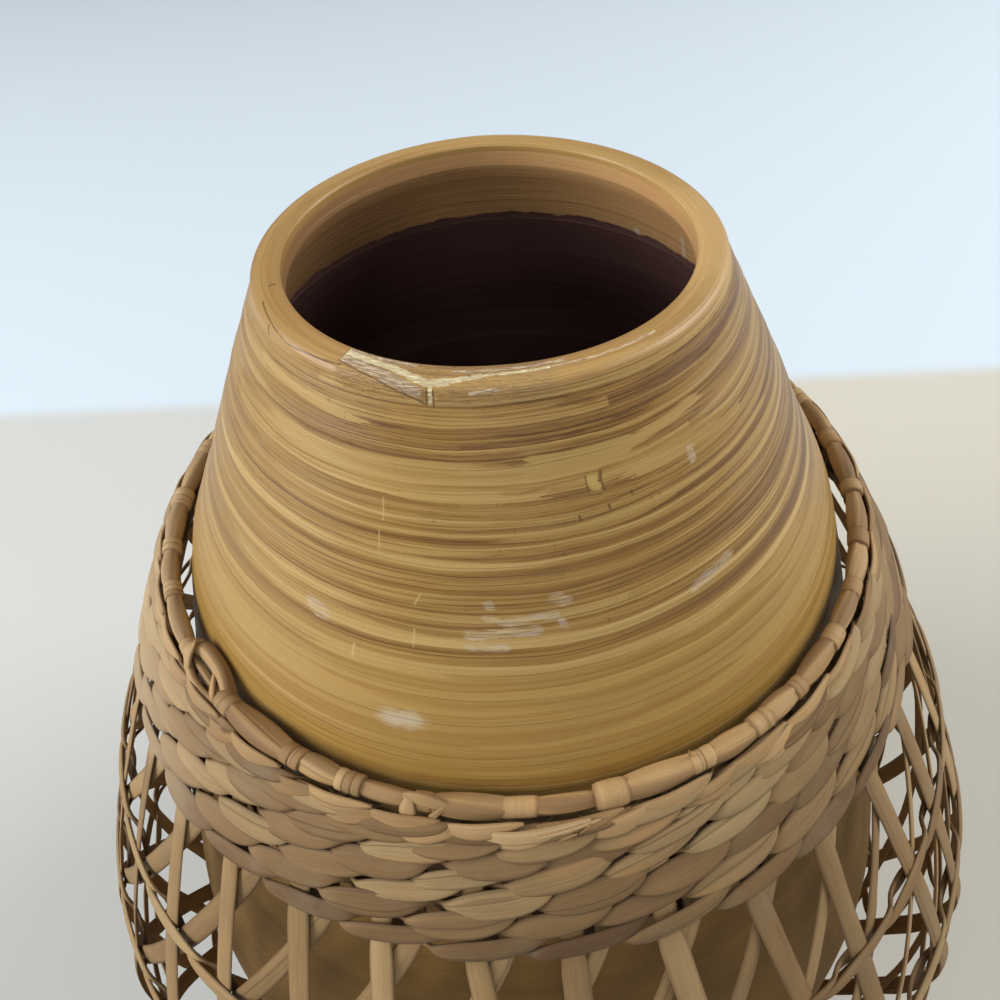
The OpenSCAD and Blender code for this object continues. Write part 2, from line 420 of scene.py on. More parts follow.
# Where the wall's looks change, in millimetres below the lip's edge, which are negative
# inside the mouth, and in metres above the floor
LIP_TOP = (4.0, 1.0)
PLAIN_LOWER_WALL = (52, 74)
BARE_NECK_TOP = (-7.4, -8.4)
# Painted shade on the wall behind and below the sleeve, eased in from the first height down to
# the second
SLEEVE_SHADE_M = (0.284, 0.262)


def bamboo_finish():
    material, wire, finish = new_finish("varnished bamboo strip")
    x, y, z = parts(object_place(wire))
    degrees = wire.math("ARCTAN2", x, -y) * math.degrees(1)
    down = attribute(wire, "down_mm")

    def streaks(fineness, level, detail=2, roughness=0.5):
        """Noise drawn out along the strips, as fine as this round the wall."""
        return noise(vector(x * fineness, y * fineness, level), detail, roughness)

    def flecks(fineness, level, seed, detail=3, roughness=0.6):
        """Noise by degrees round the wall, for the marks."""
        return noise(vector(degrees * fineness, level, seed), detail, roughness)

    def marks(strokes, ragged=1.0, edge=0.45):
        return stroke_mask(degrees, down, strokes, rag * ragged, edge)

    wander = streaks(14, down * 0.05) - 0.5
    ripple = streaks(55, down * 0.2) - 0.5
    level = down + wander * 1.6 + ripple * 0.8
    strip = wire.math("FLOOR", level / STRIP_H_MM)
    within = wire.math("FRACT", level / STRIP_H_MM)
    piece = wire.math("FLOOR", degrees / 360 + chance(strip * 3.7) + 0.5)
    strip_tone = (chance(strip * 1.3 + piece * 11.9) - 0.5) * ease(abs(degrees), 179, 150)

    broad = streaks(4, level * 0.22, 3, 0.6)
    streak = streaks(8, level * 0.95, 4, 0.7)
    lines = streaks(18, level * 2.4, 3, 0.65)
    dashes = streaks(110, level * 2.0, 2, 0.6)
    belts = ease(streaks(6, level * 0.42), 0.46, 0.54)

    lower = ease(down, *PLAIN_LOWER_WALL)
    fibrous = ease(streaks(24, down * 0.12, 3), 0.42, 0.56)
    fibrous = fibrous * ease(down, 46, 12, 0.25, 1.0) * (1 - lower)
    plain = ease(noise(vector(x * 11 + 4, y * 11, level * 0.19)), 0.57, 0.62)
    torn_ends = (noise(vector(down * 1.1, 4.0, 0.0), roughness=0.7) - 0.5) * 16
    plain = plain.math("MAXIMUM", plain * 0.8,
                       stroke_mask(degrees + torn_ends, down, PLAIN_STROKES,
                                   (streak - 0.5) * 2.4, 0.15))
    right_side = between(degrees, 5, 40, 100, 140)
    left_side = between(degrees, -150, -110, -60, -30)
    belted = right_side * between(down, 4, 14, 62, 84)

    swing = (1 - lower * 0.55) * (1 - left_side * 0.45)
    tone = (0.52 + (strip_tone * 0.30 + (streak - 0.5) * 1.42 + (broad - 0.5) * 0.54)
            * swing * (1 - plain * 0.85))
    tone = tone + plain * 0.15 + lower * 0.02 - belted * belts * 0.13
    belt_level = down + wander * 0.9 + ripple * 1.1
    belt = ramp(belt_level / BELTS_END,
                [(place / BELTS_END, (0.5 + light,) * 3 + (1.0,)) for place, light in BELTS])
    strength = ease(streaks(9, down * 0.05, 1), 0.25, 0.60, 0.45, 1.0)
    tone = tone + (belt - 0.5) * strength * (0.8 + right_side * 0.5)
    brown = stroke_mask(degrees + torn_ends * 0.6, down, BROWN_STROKES, (lines - 0.5) * 2.0, 0.3)
    fibrous = fibrous.math("MAXIMUM", fibrous, brown) * (1 - plain)
    tone = tone - brown * 0.08 * (1 - plain)
    tone = tone - fibrous * (ease(lines, 0.50, 0.60) + ease(dashes, 0.54, 0.62)) * 0.17
    joint = ease(abs(within - 0.5), 0.41, 0.49) * ease(streaks(9, strip * 0.9), 0.50, 0.60)
    tone = tone - joint * 0.16 * swing * (1 - plain)
    coat = Coat(ramp(tone, [(0.12, DARK_STRIP), (0.32, BROWN_STRIP), (0.50, MID_STRIP),
                            (0.67, LIGHT_STRIP), (0.88, PALE_STRIP)]))
    coat.lay(lower, 0.40, GOLDEN_STRIP)
    on_lip = ease(down, *LIP_TOP)
    coat.lay(on_lip, 0.5, paint(186, 148, 92))
    # Painted shade: the lip's top is darker on its left side
    coat.lay(on_lip * between(degrees, -179, -130, -60, -30), 0.35, paint(148, 110, 62))
    lip_rings = ease(streaks(9, down * 2.6, 3, 0.6), 0.54, 0.66)
    coat.lay(on_lip * lip_rings, 0.35, BROWN_STRIP)
    # Painted shade: the wall behind and below the sleeve is darkened towards brown
    shaded_under_sleeve = ease(z, *SLEEVE_SHADE_M)
    coat.lay(shaded_under_sleeve, 0.78, paint(100, 70, 24))

    specks = ease(flecks(1.5, strip * 3.1, 0.0, 0, 0.5), 0.76, 0.79)
    specks = specks * ease(dashes, 0.48, 0.58) * between(down, 2, 8, 50, 62)
    coat.lay(specks * ease(abs(within - 0.45), 0.34, 0.22), 0.7, DARK_STRIP)

    rag = (flecks(0.55, down * 2.2, 0.0) - 0.5) * 2.6
    flakes = ease(flecks(0.22, down * 3.4, 3.0, roughness=0.65), 0.40, 0.56)
    grain = ease(flecks(0.30, down * 3.6, 7.0), 0.42, 0.56)
    coat.lay(marks(TEAR_STROKES, 0.8, 0.3), 0.75, paint(190, 160, 92))
    crack = marks(CRACK_STROKES)
    coat.lay(crack, 0.8, DARK_STRIP)
    scuff = stroke_mask(degrees + torn_ends * 0.1, down, SCUFF_SPOTS, rag * 0.7, 0.35) * flakes
    scuff_tint = tint(ease(dashes, 0.46, 0.56), SCUFF_TINT, paint(206, 188, 146))
    coat.lay(scuff, 0.62, scuff_tint)
    coat.lay(marks(SMEAR_SPOTS, 0.8, 0.7), 0.50, paint(205, 198, 178))
    coat.lay(marks(SCRATCH_STROKES), 0.45, paint(206, 180, 128))
    splinter = marks(SPLINTER_STROKES, 0.7, 0.2) * ease(degrees, -37.0, -36.4)
    coat.lay(splinter, 0.85, tint(grain, paint(146, 118, 92), paint(206, 190, 162)))
    chip = marks(CHIP_STROKES, 0.8, 0.2) * ease(degrees, -36.9, -36.5)
    coat.lay(chip, 1.0, tint(grain, paint(196, 178, 138), BARE_WOOD))
    scraped = chip.math("MAXIMUM", chip, splinter)
    coat.lay(crack * scraped, 0.7, DARK_STRIP)

    inside = ease(down, *BARE_NECK_TOP)
    # Painted light: the lip's top is lighter on its right side
    coat.lay(on_lip * between(degrees, 45, 75, 100, 125), 0.4, paint(216, 180, 124))
    coat.lay(inside, 0.85, BARE_NECK)
    # Painted shade: the bare neck inside is darker on its left side
    coat.lay(inside * ease(x, -0.010, -0.042), 0.6, paint(100, 70, 44))
    # Painted highlights on the inner neck
    coat.lay(marks(NECK_PAINTED_HIGHLIGHTS, 0.6, 0.6), 0.6, paint(206, 200, 190))
    drip = streaks(103, 5.0, 5, 0.65)
    coated = ease(z / MM + (drip - 0.5) * 6, COAT_TOP_MM + 2.4, COAT_TOP_MM + 1.7)
    coat.lay(coated, inside, LACQUER)

    gloss = (0.36 + (streak - 0.5) * 0.22 + fibrous * 0.12 + scraped * 0.35 + inside * 0.06
             + shaded_under_sleeve * 0.3)
    by_chip = between(degrees, -37, -35, 8, 14) * ease(down, 5.0, 3.5)
    relief = streak * 0.5 + lines * 0.25 + within * 0.08 - joint * 0.6 + by_chip * grain * 0.8
    finish(Base_Color=coat.colour, Roughness=gloss, Coat_Weight=0.15 - shaded_under_sleeve * 0.15,
           Coat_Roughness=0.3, Specular_IOR_Level=0.4, Normal=bumped(relief, 0.35 * MM, 0.7))
    return material


def lacquer_finish():
    material, wire, finish = new_finish("dark brown lacquer")
    place = object_place(wire)
    x, y, z = parts(place)
    rings = noise(vector(x * 4, y * 4, z * 420), detail=3, roughness=0.6)
    cloud = noise(place, scale=22, detail=3)
    colour = ramp(rings * 0.5 + cloud * 0.5,
                  [(0.30, paint(76, 52, 51)), (0.55, LACQUER), (0.75, paint(118, 90, 85))])
    finish(Base_Color=colour, Roughness=0.40 + (cloud - 0.5) * 0.3, Coat_Weight=0.1,
           Normal=bumped(rings, 0.25 * MM, 0.5))
    return material


def floor_disc_finish():
    material, wire, finish = new_finish("sealed coiled strip")
    x, y = parts(object_place(wire))[:2]
    radius_mm = (x * x + y * y) ** 0.5 / MM
    coil = wire.math("FLOOR", radius_mm / STRIP_H_MM)
    grain = noise(vector(x * 30, y * 30, coil * 1.7), detail=3)
    colour = ramp(chance(coil) * 0.4 + grain * 0.6,
                  [(0.30, BROWN_STRIP), (0.50, MID_STRIP), (0.70, LIGHT_STRIP)])
    edge = ease(abs(wire.math("FRACT", radius_mm / STRIP_H_MM) - 0.5), 0.38, 0.48)
    colour = tint(edge * 0.6, colour, DARK_STRIP)
    finish(Base_Color=colour, Roughness=0.5 + grain * 0.2,
           Normal=bumped(grain * 0.3 - edge, 0.3 * MM, 0.8))
    return material


# The band's left side is lightened with painted light, from this place on the axis across and
# above this height
LIT_SIDE_M = (-0.075, -0.12)
LIT_SIDE_FOOT_M = (0.250, 0.262)


def plant_fibre_finish(name, pale, mid, deep, edge):
    """Dry flat strand: long fine fibres, tones that change from strand to strand."""
    material, wire, finish = new_finish(name)
    place = object_place(wire)
    tone, along, across = [attribute(wire, "strand_" + part)
                           for part in ("tone", "along", "across")]
    fibres = noise(vector(along * 45, across * 5.5, tone * 31), detail=4, roughness=0.65)
    threads = noise(vector(along * 90, across * 15, tone * 17), detail=2, roughness=0.6)
    crease = ease(abs(across - (tone - 0.5) * 1.2 + (fibres - 0.5) * 0.5), 0.14, 0.02)
    crease = crease * ease(tone.math("FRACT", tone * 7.3), 0.60, 0.72)
    blotch = noise(place, scale=60, detail=3, roughness=0.6)
    patch = noise(vector(along * 30, tone * 43, across * 0.6), detail=3)

    value = 0.5 + (tone - 0.5) * 0.40 + (fibres - 0.5) * 0.34 + (patch - 0.5) * 0.42
    coat = Coat(ramp(value, [(0.12, deep), (0.46, mid), (0.80, pale), (1.0, CHALKY)]))
    warm = ease(patch, 0.56, 0.68) * ease(tone, 0.2, 0.7)
    coat.lay(warm, 0.32, paint(172, 118, 64))
    cool = ease(blotch, 0.50, 0.66) * ease(tone, 0.7, 0.2)
    coat.lay(cool, 0.35, paint(132, 116, 88))
    # Painted shade: each strand is darker towards its edges and along its creases
    edge_shade = ease(abs(across), 0.66, 1.0)
    coat.lay(edge_shade, 0.50, edge)
    coat.lay(crease, 0.28, edge)
    x, y, z = parts(place)
    # Painted light: the strands are lighter on the left side, where the light falls
    lit_left_side = ease(x, *LIT_SIDE_M) * ease(z, *LIT_SIDE_FOOT_M)
    coat.lay(lit_left_side, 0.58, paint(204, 181, 146))
    finish(Base_Color=coat.colour, Roughness=0.62 + (fibres - 0.5) * 0.3,
           Specular_IOR_Level=0.3,
           Normal=bumped(fibres * 0.5 + threads * 0.25 - crease * 0.5, 0.4 * MM, 0.8))
    return material


# Strands made by geometry nodes

SECTION_SIDES = 12
ROW_SECTION_SIDES = 18
SEAM_GAP = 0.01 * MM
STRAND_RUN = 0.32

# A twined strand's way past the stakes: how long it stays before or behind one, how far
# its leaf's widest place lags, how flat its sway is there, how pointed its zigzag, how
# narrow its leaf's tips, and how far its section is from a box
LINGER = 0.55
LEAF_LAG = 0.11
SWAY_PLATEAU = 0.5
ZIGZAG_SHARPNESS = 0.95
LEAF_TIP = 0.14
ROW_SQUARENESS = 0.75


def new_tree(name, *floats):
    """A tree of geometry nodes with named inputs, and a function that reads one of them."""
    tree = bpy.data.node_groups.new(name, "GeometryNodeTree")
    tree.interface.new_socket("Geometry", in_out="OUTPUT", socket_type="NodeSocketGeometry")
    kinds = dict.fromkeys(floats, "Float")
    kinds |= {"Stake Count": "Int", "Samples": "Int", "Material": "Material"}
    for title, kind in kinds.items():
        tree.interface.new_socket(title, in_out="INPUT", socket_type="NodeSocket" + kind)
    given = tree.nodes.new("NodeGroupInput")
    return tree, Wire(tree), lambda title: Wire(tree, given.outputs[title])


def strand_sheet(wire, given, sides):
    """A sheet whose X runs along a strand and whose Y goes once round its section."""
    return wire.node("GeometryNodeMeshGrid", {
        "Size X": 1.0, "Size Y": 1.0, "Vertices X": given("Samples"), "Vertices Y": sides + 1})


def share_and_bend(wire):
    """Where a point of a sheet is: its share of the strand and its angle round the section."""
    along, around = parts(wire.node("GeometryNodeInputPosition"))[:2]
    return along + 0.5, (around + 0.5) * TURN


def end_tree(wire, mesh, material):
    """Closes the seams of a tree's mesh and gives it its material."""
    joined = wire.node("GeometryNodeRealizeInstances", {0: mesh})
    joined = wire.node("GeometryNodeMergeByDistance", {"Geometry": joined, "Distance": SEAM_GAP})
    smooth = wire.node("GeometryNodeSetShadeSmooth", {"Geometry": joined, "Shade Smooth": True})
    done = wire.node("GeometryNodeSetMaterial", {"Geometry": smooth, "Material": material})
    sink = wire.tree.nodes.new("NodeGroupOutput")
    wire.tree.links.new(done.socket, sink.inputs[0])


def store(mesh, name, value):
    return mesh.node("GeometryNodeStoreNamedAttribute",
                     {"Geometry": mesh, "Name": name, "Value": value},
                     data_type="FLOAT", domain="POINT")


def laid_round(mesh, turn, radial, sideways, height, **looks):
    """Moves a mesh's points to their places round the axis. Its finish reads the looks."""
    cos_t, sin_t = cosine(turn), sine(turn)
    position = vector(cos_t * radial - sin_t * sideways,
                      sin_t * radial + cos_t * sideways, height)
    for name, value in looks.items():
        mesh = store(mesh, "strand_" + name, value)
    return mesh.node("GeometryNodeSetPosition", {"Geometry": mesh, "Position": position})


def squared_off(value, power):
    """A sine or cosine with flatter sides, for a section between an ellipse and a box."""
    return value.math("SIGN", value) * abs(value) ** power


def grow(name, tree, values):
    """The plain mesh object that a tree makes from these inputs."""
    piece = in_scene(name, bpy.data.meshes.new(name))
    step = piece.modifiers.new(name, "NODES")
    step.node_group = tree
    for item in tree.interface.items_tree:
        if item.in_out == "INPUT":
            step[item.identifier] = values[item.name]
    graph = bpy.context.evaluated_depsgraph_get()
    grown = bpy.data.meshes.new_from_object(piece.evaluated_get(graph))
    piece.modifiers.clear()
    piece.data = grown
    return piece


def twined_strand(wire, given, strand, up, out):
    """The first or the second strand of a row. Up and out are radius and height along the
    sleeve's slope and square to it."""
    (up_r, up_z), (out_r, out_z) = up, out
    count, slope = given("Stake Count"), given("Row Slope")
    grid = strand_sheet(wire, given, ROW_SECTION_SIDES)
    share, bend = share_and_bend(wire)
    stakes_on = share * count - 0.5
    in_pass = stakes_on - strand

    def slowed(passed):
        return passed - sine(passed * math.pi) * (LINGER / math.pi)
    late_pass = slowed(in_pass - LEAF_LAG)
    number = wire.math("ROUND", late_pass)

    def random(channel):
        return chance(number * 7.31 + strand * 3.77 + channel * 19.19
                      + given("Seed") * 5.23) * 2 - 1

    front = cosine(late_pass * math.pi)
    middle = abs(front)

    def uneven(channel):
        return random(channel) * given("Unevenness") * middle

    sway = front / (front * front + SWAY_PLATEAU**2) ** 0.5 * (1 + SWAY_PLATEAU**2) ** 0.5
    push = given("Sway") * sway + uneven(1) * 0.5 * MM
    swing = sine(slowed(in_pass) * math.pi) * ZIGZAG_SHARPNESS
    zigzag = wire.math("ARCSINE", swing) / math.asin(ZIGZAG_SHARPNESS)
    rise = given("Lift") * zigzag * (1 + uneven(2) * 0.45) + uneven(3) * 0.6 * MM
    half_width = (given("Half Width") * (LEAF_TIP + middle ** 1.05 * 0.90)
                  * (1 + uneven(4) * 0.22))
    half_thick = given("Half Thickness") * (1.4 - middle * 0.4)
    tilt = given("Shingle Tilt") + uneven(5) * 0.22
    steepness = (cosine(slowed(in_pass) * math.pi) / (1 - swing * swing) ** 0.5
                 * (1 - cosine(in_pass * math.pi) * LINGER))
    climb = wire.math("ARCTANGENT", given("Lift") * 2.3 * steepness
                      / (given("Row Radius") * TURN / count))

    width_c = squared_off(cosine(bend), ROW_SQUARENESS)
    thick_c = squared_off(sine(bend), ROW_SQUARENESS)
    lean_c, lean_s = cosine(tilt), sine(tilt)
    wide_r = (up_r * lean_c - out_r * lean_s) * cosine(climb)
    wide_z = (up_z * lean_c - out_z * lean_s) * cosine(climb)
    deep_r = out_r * lean_c + up_r * lean_s
    deep_z = out_z * lean_c + up_z * lean_s
    w = half_width * width_c
    fold = cosine((width_c * (1.3 + random(8) * 0.5) + random(9)) * math.pi) * middle
    d = (half_thick * thick_c * (1 + (1 - width_c * width_c) * 0.15)
         + given("Fold Depth") * (fold + (1 - width_c * width_c) * 0.2))
    radial = given("Row Radius") + slope * rise + out_r * push + w * wide_r + d * deep_r
    height = given("Row Height") + rise + out_z * push + w * wide_z + d * deep_z
    sideways = -(w * sine(climb))
    turn = given("Start Turn") + stakes_on * TURN / count
    return laid_round(
        grid, turn, radial, sideways, height, across=width_c,
        tone=random(6) * 0.5 + 0.5 + given("Tone Shift"),
        along=turn * given("Row Radius") + random(7) * 0.4)


def twined_row_tree():
    """Two flat strands that take turns before and behind the stakes, all round the sleeve."""
    tree, wire, given = new_tree(
        "twined row", "Row Height", "Row Radius", "Row Slope", "Start Turn", "Sway", "Lift",
        "Half Width", "Half Thickness", "Shingle Tilt", "Unevenness", "Seed", "Fold Depth",
        "Tone Shift")
    slope = given("Row Slope")
    steep = (slope * slope + 1) ** 0.5
    up = (slope / steep, steep ** -1)
    out = (up[1], -up[0])
    strands = [twined_strand(wire, given, strand, up, out) for strand in (0, 1)]
    both = tree.nodes.new("GeometryNodeJoinGeometry")
    for strand in reversed(strands):
        tree.links.new(strand.socket, both.inputs[0])
    end_tree(wire, Wire(tree, both.outputs[0]), given("Material"))
    return tree


def stake_tree():
    """Flat stakes that follow the sleeve's curve from the top border to the foot border."""
    tree, wire, given = new_tree(
        "leaning stakes", "Layer Offset", "Half Width", "Half Thickness", "Start Turn", "Lean",
        "Lean Spread", "Twist", "Seed")
    count = given("Stake Count")
    sites = wire.node("GeometryNodeMeshLine", {"Count": count, "Offset": (0.0, 0.0, 0.0)})
    sites = store(sites, "stake_number", wire.node("GeometryNodeInputIndex"))
    grid = strand_sheet(wire, given, SECTION_SIDES)
    placed = wire.node("GeometryNodeInstanceOnPoints", {"Points": sites, "Instance": grid})
    placed = wire.node("GeometryNodeRealizeInstances", {0: placed})

    number = wire.node("GeometryNodeInputNamedAttribute", {"Name": "stake_number"},
                       data_type="FLOAT")
    share, bend = share_and_bend(wire)

    def random(channel):
        return chance(number * 3.71 + channel * 23.9 + given("Seed") * 7.7) * 2 - 1

    height = STAKE_TOP + (STAKE_FOOT - STAKE_TOP) * share
    least, most = float(STAKE_NEAR_R.min()), float(STAKE_NEAR_R.max())

    def height_share(at):
        return (at - STAKE_FOOT) / (STAKE_TOP - STAKE_FOOT)
    shape = [(float(height_share(h)), float((r - least) / (most - least)))
             for h, r in zip(STAKE_LEVELS, STAKE_NEAR_R)]
    curve = wire.node("ShaderNodeFloatCurve", {"Value": height_share(height)}, points=shape)
    radius = least + (most - least) * curve
    opened = (OPEN_TOP - height) / (OPEN_TOP - OPEN_FOOT)
    opened = opened.math("MINIMUM", opened.math("MAXIMUM", opened, 0.0), 1.0)
    bow = sine(opened * math.pi)
    turn = (given("Start Turn") + number * TURN / count + given("Lean") * opened
            + given("Lean Spread") * random(1) * bow)
    in_open = ease(opened, 0.0, 0.03) * ease(opened, 1.0, 0.97)
    wave = noise(vector(share * 7, number * 5.3, given("Seed")), detail=1) - 0.5
    half_width = (given("Half Width") * (0.86 + in_open * 0.14)
                  * (1 + random(2) * 0.10 + wave * 0.20))
    twist = (random(3) * bow + wave * 1.5) * given("Twist") * in_open
    open_run = (OPEN_TOP - OPEN_FOOT) * 1.12
    climb = wire.math("ARCTANGENT", given("Lean") * radius * in_open / open_run)

    width_c = squared_off(cosine(bend), 0.7)
    thick_c = sine(bend)
    w = half_width * width_c
    d = given("Half Thickness") * thick_c * (1.05 - width_c * width_c * 0.35)
    radial = radius + given("Layer Offset") + d * cosine(twist) + w * sine(twist)
    sideways = (w * cosine(twist) - d * sine(twist)) * cosine(climb)
    lifted = height + w * sine(climb)
    mesh = laid_round(placed, turn, radial, sideways, lifted, tone=random(5) * 0.5 + 0.5,
                      along=share * STRAND_RUN + number * 0.37, across=width_c)
    end_tree(wire, mesh, given("Material"))
    return tree


# Strands laid one by one

class Bundle:
    """Strands gathered in one mesh, with the attributes that their finish reads."""

    def __init__(self):
        self.points, self.faces = [], []
        self.tone, self.along, self.across = [], [], []

    def lay(self, sections, tone, ridges=0, ridge=0.0, flat=0.85):
        """One strand with closed ends through sections, each given as its centre, its width's
        and its depth's directions, and its half width and half thickness."""
        first = len(self.points)
        count = len(sections)
        sides = 2 * SECTION_SIDES if ridges else SECTION_SIDES
        bend = TURN * np.arange(sides) / sides
        wide, deep = [np.copysign(abs(part) ** flat, part)
                      for part in (np.cos(bend), np.sin(bend))]
        run = 0.0
        for i, (centre, across, out, half_width, half_thick) in enumerate(sections):
            if i:
                run += float(np.linalg.norm(centre - sections[i - 1][0]))
            pleat = ridge * (2.2 - 1.6 * bell(i / (count - 1)))
            crest = 1 + pleat * np.cos(ridges * bend + 1.3 * i / count)
            points = (centre + np.outer(half_width * wide * crest, across)
                      + np.outer(half_thick * deep * crest, out))
            self.points += points.tolist()
            self.across += wide.tolist()
            self.along += [run + tone * 0.7] * sides
        self.tone += [tone] * (count * sides)
        ring = range(first, first + sides)
        for low in range(0, (count - 1) * sides, sides):
            for a, b in zip(ring, [*ring[1:], first]):
                self.faces.append((a + low, b + low, b + low + sides, a + low + sides))
        self.faces.append(tuple(reversed(ring)))
        self.faces.append(tuple(a + (count - 1) * sides for a in ring))

    def piece(self, name, material):
        return mesh_piece(name, self.points, self.faces, material, strand_tone=self.tone,
                          strand_along=self.along, strand_across=self.across)


UP = np.array([0.0, 0.0, 1.0])


def outward(degrees):
    """The direction out from the axis at a place round the vase."""
    turn = math.radians(degrees)
    return np.array([math.sin(turn), -math.cos(turn), 0.0])


def bell(share, power=1.0):
    """Rises from 0 to 1 at the middle of a share and falls back."""
    return math.sin(math.pi * min(max(share, 0.0), 1.0)) ** power


def lay_border_strand(bundle, ring_r, ring_z, start, end, thick, tone, rng):
    """A fat rolled strand along the border from one wrap to the next, pinched at its ends."""
    steps = 24
    shift_r, shift_z = rng.uniform(-0.3, 0.3) * MM, rng.uniform(-0.2, 0.3) * MM
    pinch = rng.uniform(0.46, 0.62)
    heavy_end = rng.uniform(-0.35, 0.35)
    spin = rng.uniform(0, TURN)
    sections = []
    for i in range(steps + 1):
        share = i / steps
        out = outward(start + (end - start) * share)
        bulge = bell(share + heavy_end * share * (1 - share), 0.9)
        roll = spin + 0.7 * share
        size = thick * (pinch + (1 - pinch) * bulge)
        sections.append((out * (ring_r + shift_r * bulge) + UP * (ring_z + shift_z * bulge),
                         UP * math.cos(roll) + out * math.sin(roll),
                         out * math.cos(roll) - UP * math.sin(roll), size * 1.05, size * 0.95))
    bundle.lay(sections, tone, ridges=6, ridge=0.035)


def lay_wrap(bundle, ring_r, ring_z, degrees, half_long, radius, crown, tone, ribs, skew):
    """A flat strand wound round the border once, or as many times as it has ribs."""
    steps = 26
    overlap = 1.04
    degree_m = ring_r * math.radians(1)
    rib_half = half_long / ribs
    for rib in range(ribs):
        middle = degrees + (-half_long + rib_half * (2 * rib + 1)) / degree_m
        sections = []
        for i in range(steps + 1):
            turn = TURN * (i / steps) * overlap - 0.5 * math.pi
            place = middle + skew * (i / steps - 0.5) / degree_m
            out = outward(place)
            away = out * math.cos(turn) + UP * math.sin(turn)
            sections.append((out * ring_r + UP * ring_z + away * radius, outward(place + 90),
                             away, rib_half * 1.06, crown))
        bundle.lay(sections, (tone + 0.09 * rib) % 1.0, flat=0.55)


def lay_slip(bundle, places, half_width, half_thick, tone, tip_share, face_up):
    """A flat slip through places given as degrees, radius and height, pointed at its ends."""
    steps = 16
    keys = np.linspace(0, 1, len(places))
    shares = np.linspace(0, 1, steps + 1)
    columns = [smooth_through(shares, keys, column) for column in np.array(places, float).T]
    centres = [outward(degrees) * radius + UP * height
               for degrees, radius, height in zip(*columns)]
    sections = []
    for i, degrees in enumerate(columns[0]):
        ahead = centres[min(i + 1, steps)] - centres[max(i - 1, 0)]
        ahead = ahead / np.linalg.norm(ahead)
        wide = np.cross(ahead, outward(degrees) * math.cos(face_up) + UP * math.sin(face_up))
        wide = wide / np.linalg.norm(wide)
        sections.append((centres[i], wide, np.cross(wide, ahead),
                         half_width * (tip_share + (1 - tip_share) * bell(shares[i], 0.85)),
                         half_thick))
    bundle.lay(sections, tone)


# The pieces

def hand_over(piece, slot, *nodes):
    """Seats a finished piece on the vase in place of its CAD nodes."""
    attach(piece, ROOT)
    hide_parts(*nodes)


LIP_OUTER_ROUND = 2.5 * MM
LIP_INNER_ROUND = 0.9 * MM
LAND_DEPTH = 5 * MM
NECK_FOOT = 0.285
NECK_ROW = 0.95 * MM
BODY_ROWS = 70
INNER_ROWS = 62
ROUND_SEGMENTS = 300

# The lip leans to one side and drops at the back, which is felt this far down the wall's
# outer and inner face
LIP_LEAN = 0.028
LIP_FAR_DROP = 1.1 * MM
DROP_REACH_MM = (42.0, 17.0)

# Relief of the wound strips and of the chip, which is cut down into the lip as well
STRIP_KINDS = 200
STRIP_STEP_MM = 0.16
WALL_WOBBLE = 0.12 * MM
CHIP_DEPTH = 0.75 * MM
LIP_BAND_MM = 5


def shell_section():
    """The shell's closed outline as radius, height and distance below the lip's edge."""
    outer_z, outer_r = turned_outline("bamboo_shell", True)
    inner_z, inner_r = turned_outline("bamboo_shell", False)
    edge_z = BODY_H - LIP_OUTER_ROUND
    neck = np.arange(NECK_FOOT, edge_z, NECK_ROW)
    walls = np.concatenate([np.linspace(0, NECK_FOOT, BODY_ROWS, endpoint=False), neck,
                            [edge_z]])
    keep = outer_z <= edge_z + 0.01 * MM
    outside = [(r, z) for z, r in zip(walls, smooth_through(walls, outer_z[keep], outer_r[keep]))]
    edge_r = outside[-1][0]
    arc = np.radians(np.linspace(0, 90, 9))
    outer_arc = [(edge_r - LIP_OUTER_ROUND * (1 - math.cos(a)),
                  edge_z + LIP_OUTER_ROUND * math.sin(a)) for a in arc[1:]]
    inner_arc = [(MOUTH_R + LIP_INNER_ROUND * (1 - math.sin(a)),
                  BODY_H - LIP_INNER_ROUND * (1 - math.cos(a))) for a in arc]
    land_foot = BODY_H - LIP_INNER_ROUND - LAND_DEPTH
    keep = inner_z < land_foot - 0.1 * MM
    down_wall = np.linspace(inner_z[keep][-1], 0, INNER_ROWS)
    clear_of_coat = 0.12 * MM
    inside = [(r + clear_of_coat, z)
              for z, r in zip(down_wall, np.interp(down_wall, inner_z[keep], inner_r[keep]))]
    section = outside + outer_arc + inner_arc + [(MOUTH_R, land_foot)] + inside
    section = np.array(section)
    steps = np.hypot(*np.diff(section, axis=0).T)
    run = np.concatenate([[0], np.cumsum(steps)])
    corner = len(outside) + len(outer_arc) // 2
    return section, (run[corner] - run) / MM


